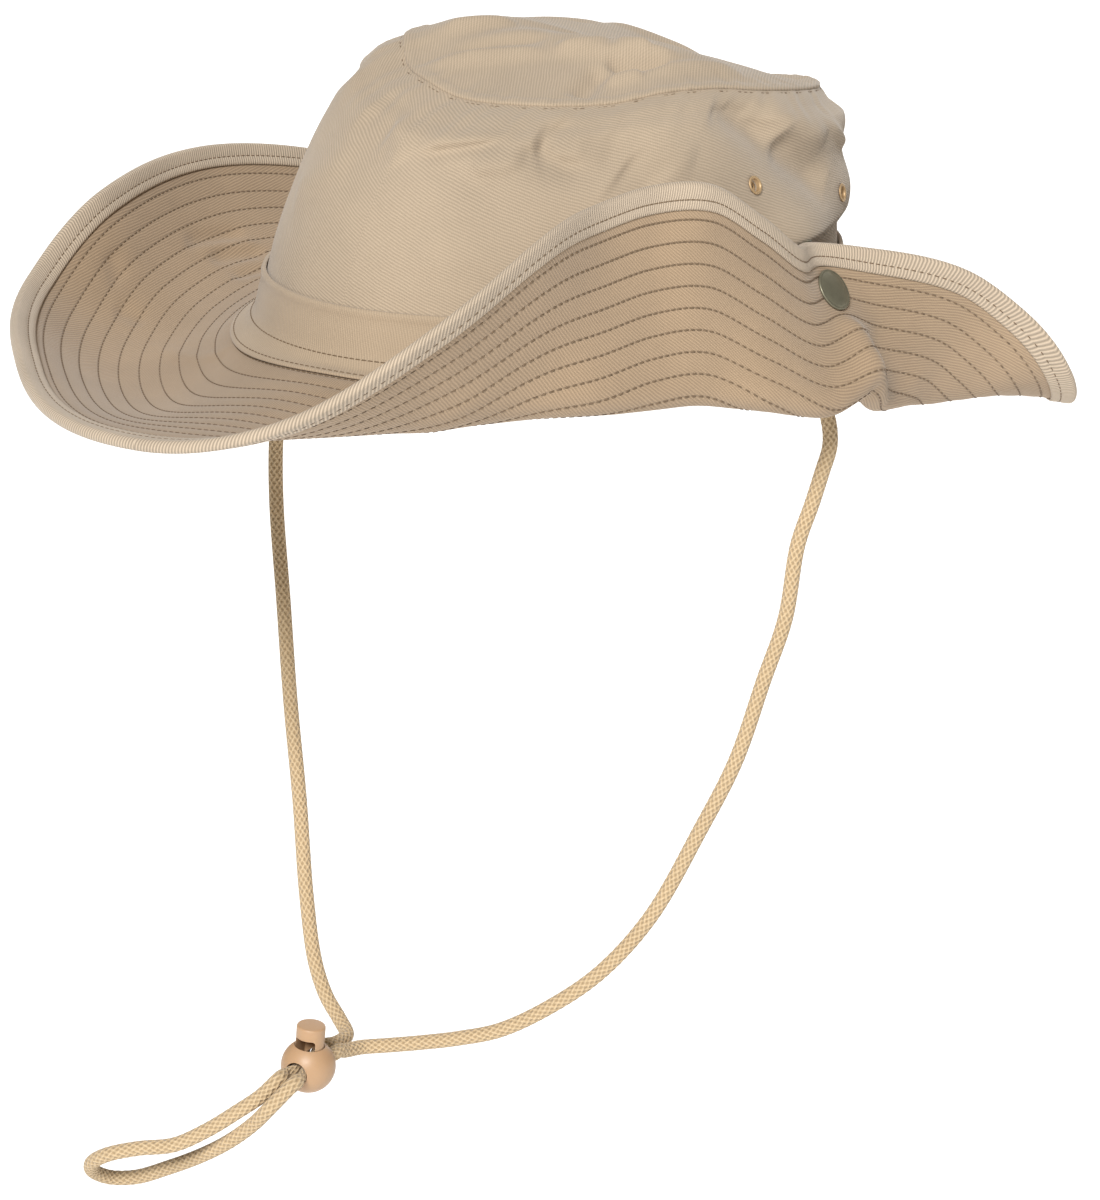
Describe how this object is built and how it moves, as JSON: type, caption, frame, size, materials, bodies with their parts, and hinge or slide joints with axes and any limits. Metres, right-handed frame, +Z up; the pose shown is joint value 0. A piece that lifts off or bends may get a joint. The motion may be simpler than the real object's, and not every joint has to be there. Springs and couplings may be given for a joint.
{
  "type": "bush hat",
  "caption": "Cotton twill bush hat with a soft crown, a wide stitched brim turned up at the sides and snapped at one, and a braided chin cord with a spring lock.",
  "frame": {"origin": "middle of the head opening, at the height of the seam between crown and brim; the hat is held there, as a head holds it", "axes": "+Z up, the front of the hat faces -Y, the wearer's left is +X"},
  "size_m": [0.2783, 0.3644, 0.3714],
  "materials": {
    "twill": "matt twill",
    "brim_twill": "matt twill, rows of stitching",
    "tape": "ribbed tape",
    "band": "smooth twill",
    "sweatband_cloth": "smooth cotton",
    "eyelet_metal": "satin, lacquered",
    "snap_metal": "dark, gun-metal",
    "cord": "braided",
    "lock_plastic": "satin"
  },
  "bodies": {
    "hat": {"crown_side": "twill", "crown_tip": "twill", "brim": "brim_twill", "brim_binding": "tape", "hat_band": "band", "sweatband": "sweatband_cloth", "eyelet_left_front": "eyelet_metal", "eyelet_left_back": "eyelet_metal", "eyelet_right_front": "eyelet_metal", "eyelet_right_back": "eyelet_metal", "snap_cap": "snap_metal", "snap_stud": "snap_metal", "chin_cord_left": "cord", "chin_cord_right": "cord", "chin_cord_tail": "cord", "chin_cord_lock_left": "cord", "chin_cord_lock_right": "cord", "cord_lock_ball": "lock_plastic"},
    "button": {"cord_lock_button": "lock_plastic"}
  },
  "joints": [
    {"name": "button_press", "type": "slide", "parent": "hat", "child": "button", "axis": [-0.1304, 0.0236, -0.9912], "range_m": [0, 0.0024], "stiffness_N_per_m": 1500, "springref_m": -0.002}
  ]
}
